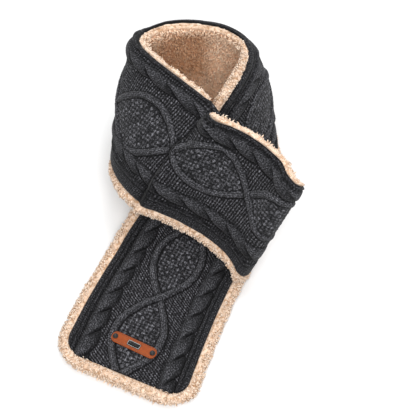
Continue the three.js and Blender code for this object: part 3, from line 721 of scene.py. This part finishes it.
def tuft_mesh(name, p, n, toward, length, width, curl):
    """Curled locks of pile: each is a bent, tapered stalk of three sides, closed at its root and tip."""
    levels, count = 4, len(p)
    side = np.cross(n, toward)
    side /= np.linalg.norm(side, axis=1)[:, None]
    toward = np.cross(side, n)
    ring = np.array([[math.cos(a), math.sin(a)] for a in (math.pi / 2, math.pi * 7 / 6, math.pi * 11 / 6)])
    taper = np.array([0.75, 1.0, 0.72])
    points = np.empty((count, 3 * (levels - 1) + 1, 3))
    centre = p - 0.35 * n
    for k in range(levels - 1):
        angle = 0.15 + curl * k / (levels - 1)
        way = np.cos(angle)[:, None] * n + np.sin(angle)[:, None] * toward
        up = np.cross(side, way)
        for j, (x, y) in enumerate(ring):
            points[:, 3 * k + j] = centre + (width * taper[k] / 2)[:, None] * (x * side + y * 0.8 * up)
        centre = centre + way * (length / (levels - 1))[:, None]
    points[:, -1] = centre
    faces = [[0, 1, 2]]
    for k in range(levels - 2):
        for j in range(3):
            a, b = 3 * k + j, 3 * k + (j + 1) % 3
            faces += [[a, a + 3, b + 3], [a, b + 3, b]]
    last = 3 * (levels - 2)
    faces += [[last + j, 3 * (levels - 1), last + (j + 1) % 3] for j in range(3)]
    faces = np.array(faces)
    size = points.shape[1]
    all_faces = (faces[None] + (np.arange(count) * size)[:, None, None]).reshape(-1, 3)
    # the tone along each lock: darker towards its root as painted shade among the locks
    tip = np.repeat(np.linspace(0.15, 1, levels), [3] * (levels - 1) + [1])
    shade = 0.62 + 0.65 * lattice(np.arange(count)[:, None], 8)
    tips = (tip[None, :] * shade[:, None]).clip(0, 1.2)
    flat = points.reshape(-1, 3)
    flat[:, 2] = np.maximum(flat[:, 2], 0.05)
    return make_mesh(name, flat, [all_faces], values={"tip": tips.ravel()})


def strip_places(points, s0, s1):
    """Nearest places on the middle surface between s0 and s1: s, v, height over it, outwards and ahead."""
    s = np.arange(s0 - 13.5 if s0 <= 0 else s0, min(s1, strip.length) + 1.5, 1.5)
    v = np.arange(-74, 74.1, 2.0)
    sg, vg = (a.ravel() for a in np.meshgrid(s, v, indexing="ij"))
    mid, n = strip.at(sg, vg, np.zeros(len(sg)))
    tree = KDTree(len(sg))
    for i, p in enumerate(mid):
        tree.insert(p, i)
    tree.balance()
    near = np.array([tree.find(p)[1] for p in points])
    h = ((points - mid[near]) * n[near]).sum(1)
    ahead = strip.at(sg[near] + 0.5, vg[near], np.zeros(len(near)))[0] - mid[near]
    ahead /= np.linalg.norm(ahead, axis=1)[:, None]
    return sg[near], vg[near], h, n[near], ahead


# Fur on the rolled edges stands up, and fur inside the ring is combed flatter.
ROLL_PILE = {"spacing": 1.9, "long": (2.5, 4.0), "wide": (1.5, 2.3), "curl": (1.1, 2.2)}
FACE_PILE = {"spacing": 2.6, "long": (3.8, 5.8), "wide": (1.6, 2.4), "curl": (1.2, 2.0)}


def without_pile(s0, s1, p, n, s, v, h, up, ahead):
    """Which points of a backing carry no pile: those under the knit, on seams, and under what rests."""
    half = strip.half_at(np.maximum(s, 0))
    outer = np.abs(v) > half + 1.6
    if s0 <= 0:
        from_corner = np.hypot(np.minimum(s - CORNER, 0), np.maximum(np.abs(v) - half + CORNER, 0))
        outer |= (s < 0) | (from_corner > CORNER + 1.5)
    behind_rim = (rim(s) > 0.3) & (v > half - 6) & (h < -2.5)
    under_knit = ~outer & ((n * up).sum(1) > -0.2) & ~behind_rim
    under_knit |= (tuck(s) > 0.5) & (v > half - 3)
    from_end = np.minimum(np.abs(s - s0), np.abs(s - min(s1, strip.length)))
    seam = (np.abs((n * ahead).sum(1)) > 0.88) & (from_end < 2.5) & (s > 5)
    resting = (p[:, 2] < 1.2) & (n[:, 2] < -0.7)
    return under_knit | seam | resting


def pile_piece(name, s0, s1, backing, seed):
    """Locks of sherpa over the part of a backing that shows."""
    rng = np.random.default_rng(seed)
    area = sum(f.area for f in backing.data.polygons) / MM**2
    spacing = ROLL_PILE["spacing"] * 1.0
    p, n = surface_points(backing, int(area / spacing**2), rng)
    s, v, h, up, ahead = strip_places(p, s0, s1)
    h -= fold(s, v)[0]
    half = strip.half_at(np.maximum(s, 0))
    face = (h < -3.5) & ((n * up).sum(1) < -0.5) & (np.abs(v) < half + 1)
    sparse = face & (rng.random(len(p)) > (ROLL_PILE["spacing"] / FACE_PILE["spacing"]) ** 2)
    keep = ~(without_pile(s0, s1, p, n, s, v, h, up, ahead) | sparse)
    p, n, v, h, face, half, s, up, ahead = (a[keep] for a in (p, n, v, h, face, half, s, up, ahead))
    count = len(p)

    # locks lean at random, and those on the rolls fan outwards from the knit
    way = np.stack([noise(p, 5.0, 20 + k) + 0.4 * rng.normal(size=count) for k in range(3)], 1)
    near_knit = smooth(4.5, 1.5, np.abs(v) - half) * (~face) * (s > 0)
    near_end = smooth(-5.5, -2.5, s) * (s < 0)
    fan = (0.7 + 1.2 * near_knit) * (~face) * (s > 0)
    way += (fan * np.sign(v))[:, None] * np.cross(up, ahead)
    way -= ((0.7 + 1.2 * near_end) * (s <= 0))[:, None] * ahead
    way -= (way * n).sum(1)[:, None] * n
    way /= np.linalg.norm(way, axis=1)[:, None]

    def between(key):
        low, high = (np.where(face, FACE_PILE[key][i], ROLL_PILE[key][i]) for i in (0, 1))
        return low + (high - low) * rng.random(count)

    narrow = (v > 0) & (s > 350) & ~face  # the upper edge of the left panel and band is thin
    long = between("long") * (1 - 0.5 * np.maximum(near_knit, near_end))
    long *= np.where(narrow, 0.66 - 0.18 * smooth(610, 640, s), 1.0)
    wide = between("wide") * 1.0
    piece = tuft_mesh("pile_" + name, p, n, way, long, wide, between("curl"))
    per = len(piece.data.vertices) // count
    inner, deep = (np.repeat(value, per) for value in inside_tone(s, v, h))
    give_values(piece.data, {"inner": inner, "deep": deep})
    return piece


# ------------------------ leather tab, rivets and socket
def tab_matrix():
    """The tab's own frame on the tail: x along the tab, y along the strip, z outwards."""

    def point(v, h):
        return strip.at(np.array([TAB["s"]]), np.array([TAB["v"] + v]), np.array([float(h)]))[0][0]

    mid = point(0, 0)
    out = Vector(point(0, 1) - mid).normalized()
    across = Matrix.Rotation(TAB["turn"], 3, out) @ Vector(point(1, 0) - point(-1, 0)).normalized()
    m = Matrix.Identity(4)
    for i, axis in enumerate((across, out.cross(across).normalized(), out)):
        m.col[i][:3] = axis
    m.col[3][:3] = Vector(mid) * MM
    return m


def rounded(long, wide, corner, steps=10):
    """Outline of a rectangle with round corners, as a list of points."""
    out = []
    for i, (x, y) in enumerate(((1, 1), (-1, 1), (-1, -1), (1, -1))):
        for k in range(steps + 1):
            a = math.radians(90 * i + 90 * k / steps)
            dx, dy = corner * math.cos(a), corner * math.sin(a)
            out.append((x * (long / 2 - corner) + dx, y * (wide / 2 - corner) + dy))
    return out


def plate(name, outlines, thick, bevel, matrix, lift):
    """A flat plate with rounded edges and holes, from its outlines, turned into a mesh."""
    curve = bpy.data.curves.new(name, "CURVE")
    curve.dimensions, curve.fill_mode = "2D", "BOTH"
    for outline in outlines:
        spline = curve.splines.new("POLY")
        spline.points.add(len(outline) - 1)
        for point, (x, y) in zip(spline.points, outline):
            point.co = (x * MM, y * MM, 0, 1)
        spline.use_cyclic_u = True
    curve.extrude, curve.bevel_depth, curve.bevel_resolution = (thick / 2 - bevel) * MM, bevel * MM, 3
    curve.offset = -bevel * MM
    maker = add_object(name + "_maker", curve)
    mesh = bpy.data.meshes.new_from_object(maker.evaluated_get(bpy.context.evaluated_depsgraph_get()))
    bpy.data.objects.remove(maker)
    mesh.transform(matrix @ Matrix.Translation((0, 0, (lift + thick / 2) * MM)))
    return add_object(name, mesh)


def local_piece(name, points, faces, matrix):
    """A piece from points in millimetres, in the frame that the matrix gives."""
    mesh = bpy.data.meshes.new(name)
    mesh.from_pydata([tuple(c * MM for c in p) for p in points], [], faces)
    mesh.transform(matrix)
    return add_object(name, mesh)


def turned(name, profile, matrix, segments=40):
    """A solid of revolution about z, from (radius, height) pairs that start and end on the axis."""
    turns = [2 * math.pi * k / segments for k in range(segments)]
    rings = []
    for r, z in profile:
        ring = turns if r > 0 else turns[:1]
        rings.append([(r * math.cos(a), r * math.sin(a), z) for a in ring])
    starts = [sum(len(ring) for ring in rings[:i]) for i in range(len(rings))]
    faces = []
    for i in range(len(rings) - 1):
        a, b = starts[i], starts[i + 1]
        for k in range(segments):
            j = (k + 1) % segments
            low = [a] if len(rings[i]) == 1 else [a + k, a + j]
            high = [b] if len(rings[i + 1]) == 1 else [b + j, b + k]
            faces.append(low + high)
    piece = local_piece(name, [point for ring in rings for point in ring], faces, matrix)
    piece.data.polygons.foreach_set("use_smooth", np.full(len(faces), True))
    return piece


def thread_piece(matrix, top):
    """Short stitches of thread all round the tab, set in from its edge."""
    inset, pitch, stitch = 1.15, 2.0, 1.35
    edge = rounded(TAB["long"] - 2 * inset, TAB["wide"] - 2 * inset, TAB["wide"] / 2 - 0.6 - inset, 16)
    path = np.array(edge + edge[:1])
    run = np.concatenate([[0], np.cumsum(np.linalg.norm(np.diff(path, axis=0), axis=1))])
    count = round(run[-1] / pitch)
    pitch = run[-1] / count

    def on_path(distance):
        return np.array([np.interp(distance % run[-1], run, path[:, i]) for i in (0, 1)])

    sides = 6
    points, faces = [], []
    for k in range(count):
        first, last = on_path(k * pitch), on_path(k * pitch + stitch)
        along = (last - first) / np.linalg.norm(last - first)
        side = np.array([-along[1], along[0]])
        base = len(points)
        for t, r in ((0, 0.05), (0.15, 0.2), (0.5, 0.24), (0.85, 0.2), (1, 0.05)):
            for j in range(sides):
                a = 2 * math.pi * j / sides
                x, y = first + (last - first) * t + side * r * math.cos(a)
                points.append((x, y, top - 0.02 + r * 0.7 * math.sin(a)))
        for i in range(4):
            for j in range(sides):
                a, b = base + sides * i + j, base + sides * i + (j + 1) % sides
                faces.append([a, b, b + sides, a + sides])
        faces.append([base + j for j in range(sides - 1, -1, -1)])
        faces.append([base + 4 * sides + j for j in range(sides)])
    return local_piece("patch_thread", points, faces, matrix)


# Radius and height of a rivet's head, from its underside up and over to the dimple in its middle.
RIVET_HEAD = [(0, -0.1), (2.3, -0.1), (2.55, 0.2), (2.5, 0.7), (2.2, 1.0)]
RIVET_HEAD += [(1.75, 0.95), (1.5, 0.6), (0.9, 0.55), (0, 0.62)]


def tab_pieces():
    """The leather tab, its thread and its two rivets."""
    m = tab_matrix()
    socket = rounded(PORT["long"] + 2 * SEAM, PORT["wide"] + 2 * SEAM, 0.9, 4)[::-1]
    outline = rounded(TAB["long"], TAB["wide"], TAB["wide"] / 2 - 0.6)
    tab = plate("leather_patch", [outline, socket], TAB["thick"], 0.35, m, TAB["back"])
    top = TAB["back"] + TAB["thick"]
    thread = thread_piece(m, top)
    rivets = []
    for side, letter in ((-1, "a"), (1, "b")):
        place = m @ Matrix.Translation((side * RIVET_APART / 2 * MM, 0, (top + 0.1) * MM))
        rivets.append(turned("stud_" + letter, RIVET_HEAD, place))
    return tab, thread, rivets


# ------------------------ materials
class Look:
    """A material and short ways to add and wire its shader nodes."""

    def __init__(self, name, **constants):
        self.material = bpy.data.materials.new(name)
        self.material.use_nodes = True
        self.tree = self.material.node_tree
        self.shader = self.tree.nodes["Principled BSDF"]
        for key, value in constants.items():
            self.shader.inputs[key.replace("_", " ")].default_value = value

    def add(self, kind, inputs=None, **settings):
        node = self.tree.nodes.new("ShaderNode" + kind)
        for key, value in settings.items():
            setattr(node, key, value)
        for key, value in (inputs or {}).items():
            self.give(node.inputs[key], value)
        return node

    def give(self, socket, value):
        if isinstance(value, bpy.types.NodeSocket):
            self.tree.links.new(value, socket)
        else:
            socket.default_value = value

    def value(self, attribute):
        return self.add("Attribute", attribute_name=attribute).outputs["Fac"]

    def place(self, uv=None):
        if uv:
            return self.add("UVMap", uv_map=uv).outputs["UV"]
        return self.add("TexCoord").outputs["Object"]

    def noise(self, size, place, detail=2.0, stretch=(1, 1, 1)):
        """Noise with lumps about size millimetres across, drawn out along an axis by stretch."""
        scale = tuple(1 / (size * MM * k) for k in stretch)
        mapped = self.add("Mapping", {"Vector": place, "Scale": scale}).outputs["Vector"]
        return self.add("TexNoise", {"Vector": mapped, "Scale": 1.0, "Detail": detail}).outputs["Fac"]

    def ramp(self, factor, stops):
        """Colour ramp from (position, (r, g, b)) stops."""
        node = self.add("ValToRGB", {"Fac": factor})
        items = node.color_ramp.elements
        while len(items) < len(stops):
            items.new(0.5)
        for item, (position, colour) in zip(items, stops):
            item.position, item.color = position, (*colour, 1)
        return node.outputs["Color"]

    def math(self, operation, a, b=0.0):
        node = self.add("Math", operation=operation)
        self.give(node.inputs[0], a)
        self.give(node.inputs[1], b)
        return node.outputs[0]

    def mix(self, factor, a, b, blend="MIX"):
        node = self.add("Mix", data_type="RGBA", blend_type=blend, clamp_result=False)
        self.give(node.inputs["Factor"], factor)
        colours = [socket for socket in node.inputs if socket.type == "RGBA"]
        for socket, value in zip(colours, (a, b)):
            self.give(socket, value if isinstance(value, bpy.types.NodeSocket) else (*value, 1))
        return next(socket for socket in node.outputs if socket.type == "RGBA")

    def bump(self, height, depth, strength=1.0):
        """Fine relief from height 0 to 1 over depth millimetres."""
        node = self.add("Bump", {"Height": height, "Distance": depth * MM, "Strength": strength})
        self.tree.links.new(node.outputs["Normal"], self.shader.inputs["Normal"])

    def colour(self, value):
        self.give(self.shader.inputs["Base Color"], value)

    def rough(self, value):
        self.give(self.shader.inputs["Roughness"], value)

    def put_on(self, *pieces):
        for piece in pieces:
            piece.data.materials.clear()
            piece.data.materials.append(self.material)


def knit_look():
    """Heathered charcoal wool, painted darker between stitches as shade, with paler fibres mixed into the
    yarn.
    """
    wool = {"Roughness": 0.92, "Sheen_Weight": 0.07, "Sheen_Roughness": 0.45, "Specular_IOR_Level": 0.12}
    look = Look("charcoal_knit", **wool)
    place = look.place("strip")
    gap, side, crown = (0.0012, 0.0012, 0.0015), (0.0112, 0.0112, 0.0123), (0.074, 0.074, 0.080)
    # the yarn runs from painted shade in the gaps up to its own colour on the crowns
    yarn = look.ramp(look.value("tone_and_painted_shade"), [(0.0, gap), (0.45, side), (1.0, crown)])
    flecks = look.noise(1.5, place, 3.0, (1.0, 0.8, 1.0))
    dark, plain, pale = (0.28, 0.28, 0.29), (0.84, 0.84, 0.85), (2.6, 2.6, 2.66)
    heather = look.ramp(flecks, [(0.39, dark), (0.5, plain), (0.62, pale)])
    clouds = look.ramp(look.noise(6.0, place), [(0.3, (0.85, 0.85, 0.85)), (0.7, (1.15, 1.15, 1.15))])
    look.colour(look.mix(1.0, look.mix(1.0, yarn, heather, "MULTIPLY"), clouds, "MULTIPLY"))
    fibre = look.noise(0.6, place, 3.0, (1.6, 0.8, 1.0))
    look.bump(fibre, 0.5, 0.8)
    return look


def sherpa_look(name, rolls, inside, lumpy):
    """Sherpa fleece: rolls and inside give three tones each, from the curls' darker root ends to their tips.
    The darkening towards the root ends is painted shade among the locks, and the inside tones are the same
    fleece painted lighter, as painted light inside the ring.
    """
    look = Look(name, Roughness=1.0, Sheen_Weight=0.2, Sheen_Roughness=0.6, Specular_IOR_Level=0.05)
    place = look.place()
    tip = look.value("tip")
    # each ramp runs from painted shade at the locks' root ends to their tips
    on_rolls, within = (look.ramp(tip, list(zip((0.1, 0.5, 1.0), tones))) for tones in (rolls, inside))
    # inside the ring the same fleece takes lighter tones, painted light where the lamps reach little
    shade = look.mix(look.value("inner"), on_rolls, within)
    patches = look.ramp(look.noise(3.0, place), [(0.37, (0.70, 0.58, 0.46)), (0.53, (1.04, 1.04, 1.04))])
    # the clumps show on the rolls and in the zone of painted shade, and less in the rest of the ring
    combed = look.math("SUBTRACT", look.value("inner"), look.value("deep"))
    clumped = look.math("SUBTRACT", 1.0, look.math("MULTIPLY", combed, 0.65))
    colour = look.mix(clumped, shade, look.mix(1.0, shade, patches, "MULTIPLY"))
    # painted shade: the colour is darkened in that zone inside the ring
    painted_shade_tint = look.mix(1.0, colour, (0.66, 0.53, 0.42), "MULTIPLY")
    look.colour(look.mix(look.value("deep"), colour, painted_shade_tint))
    look.bump(look.noise(0.5, place, 3.0), lumpy, 0.8)
    return look


def leather_look():
    """Smooth tan leather with a fine grain."""
    look = Look("tan_leather", Specular_IOR_Level=0.18)
    place = look.place()
    grain = look.noise(0.55, place, 4.0)
    mottle = look.noise(4.0, place, 2.0)
    tone = look.ramp(mottle, [(0.3, (0.19, 0.036, 0.0045)), (0.7, (0.24, 0.049, 0.0070))])
    pores = look.ramp(grain, [(0.3, (0.8, 0.78, 0.75)), (0.6, (1.05, 1.05, 1.05))])
    look.colour(look.mix(1.0, tone, pores, "MULTIPLY"))
    look.rough(look.math("ADD", look.math("MULTIPLY", grain, 0.25), 0.38))
    look.bump(grain, 0.22, 0.5)
    return look


def plain_look(name, colour, rough, metallic=0.0, grain=0.3, depth=0.02):
    """A plain material with a little grain in its colour and surface."""
    look = Look(name, Roughness=rough, Metallic=metallic)
    fine = look.noise(grain, look.place(), 2.0)
    low, high = (tuple(c * k for c in colour) for k in (0.9, 1.08))
    look.colour(look.ramp(fine, [(0.3, low), (0.7, high)]))
    look.bump(fine, depth, 0.4)
    return look


# ------------------------ the pieces, each riding the root body
knit_finish = knit_look()
pile_finish = sherpa_look(
    "sherpa_pile",
    ((0.43, 0.28, 0.18), (0.65, 0.50, 0.385), (0.73, 0.63, 0.53)),
    # inside the ring: the same fleece painted lighter, as painted light
    ((0.80, 0.51, 0.32), (0.96, 0.69, 0.49), (0.98, 0.80, 0.63)),
    0.25,
)
lining_finish = sherpa_look(
    "sherpa_backing",
    ((0.55, 0.39, 0.28), (0.66, 0.52, 0.41), (0.69, 0.58, 0.47)),
    # inside the ring: the same fleece painted lighter, as painted light
    ((0.85, 0.56, 0.37), (0.94, 0.67, 0.47), (0.96, 0.75, 0.56)),
    0.3,
)

for number, (name, s0, s1, clear, along, held) in enumerate(STRETCHES):
    knit = knit_piece(name, s0, s1, clear, along)
    lining = lining_piece(name, s0, s1)
    pile = pile_piece(name, s0, s1, lining, seed=100 + number)
    knit_finish.put_on(knit)
    lining_finish.put_on(lining)
    pile_finish.put_on(pile)
    for piece, slot in ((knit, "knit"), (lining, "sherpa"), (pile, "sherpa")):
        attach(piece, "root")
    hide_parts(name + "_knit")
    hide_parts(name + "_lining")

tab, thread, studs = tab_pieces()
leather_look().put_on(tab)
plain_look("tab_thread", (0.030, 0.018, 0.012), 0.7).put_on(thread)
plain_look("rivet_metal", (0.009, 0.0085, 0.0085), 0.45, 0.4, 0.25, 0.01).put_on(*studs)
for piece, slot in ((tab, "leather"), (thread, "leather"), (studs[0], "rivet"), (studs[1], "rivet")):
    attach(piece, "root")
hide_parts("leather_tab")
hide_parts("rivet_a")
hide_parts("rivet_b")
plain_look("port_metal", (0.20, 0.20, 0.195), 0.32, 0.6, 0.3, 0.005).put_on(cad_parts["port_shell"])
plain_look("port_plastic", (0.0012, 0.0012, 0.0012), 0.8).put_on(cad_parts["port_insert"])

# ------------------------ floor, light and camera
floor_mesh = bpy.data.meshes.new("floor")
reach = 3.0
floor_mesh.from_pydata(
    [(-reach, -reach, 0), (reach, -reach, 0), (reach, reach, 0), (-reach, reach, 0)], [], [(0, 1, 2, 3)]
)
floor = add_object("floor", floor_mesh)
Look("pale_floor", Base_Color=(0.68, 0.68, 0.68, 1), Roughness=1.0, Specular_IOR_Level=0.0).put_on(floor)

world = bpy.data.worlds.new("studio")
world.use_nodes = True
world.node_tree.nodes["Background"].inputs["Color"].default_value = (1, 1, 1, 1)
world.node_tree.nodes["Background"].inputs["Strength"].default_value = 0.85
bpy.context.scene.world = world

TARGET = Vector(-ORIGIN * MM)
# Lights: name, place from the target, size, power.
for name, place, size, power in (
    ("overhead", (0.2, 0.42, 1.12), 0.7, 8.0),
    ("front", (0.0, -0.78, 1.15), 0.9, 16.0),
):
    light_data = bpy.data.lights.new(name, "AREA")
    light_data.shape, light_data.size, light_data.energy = "DISK", size, power
    light = add_object(name, light_data)
    light.location = TARGET + Vector(place)
    light.rotation_euler = (TARGET - light.location).to_track_quat("-Z", "Y").to_euler()

DISTANCE, ELEVATION = 1.0, math.radians(57)
camera_data = bpy.data.cameras.new("camera")
camera_data.lens, camera_data.sensor_width = 84.375, 36.0
camera_data.clip_start, camera_data.clip_end = 0.01, 20.0
camera = add_object("camera", camera_data)
camera.location = TARGET + Vector((0, -math.cos(ELEVATION), math.sin(ELEVATION))) * DISTANCE
camera.rotation_euler = (math.pi / 2 - ELEVATION, 0, 0)
bpy.context.scene.camera = camera
bpy.context.scene.view_settings.view_transform = "Standard"
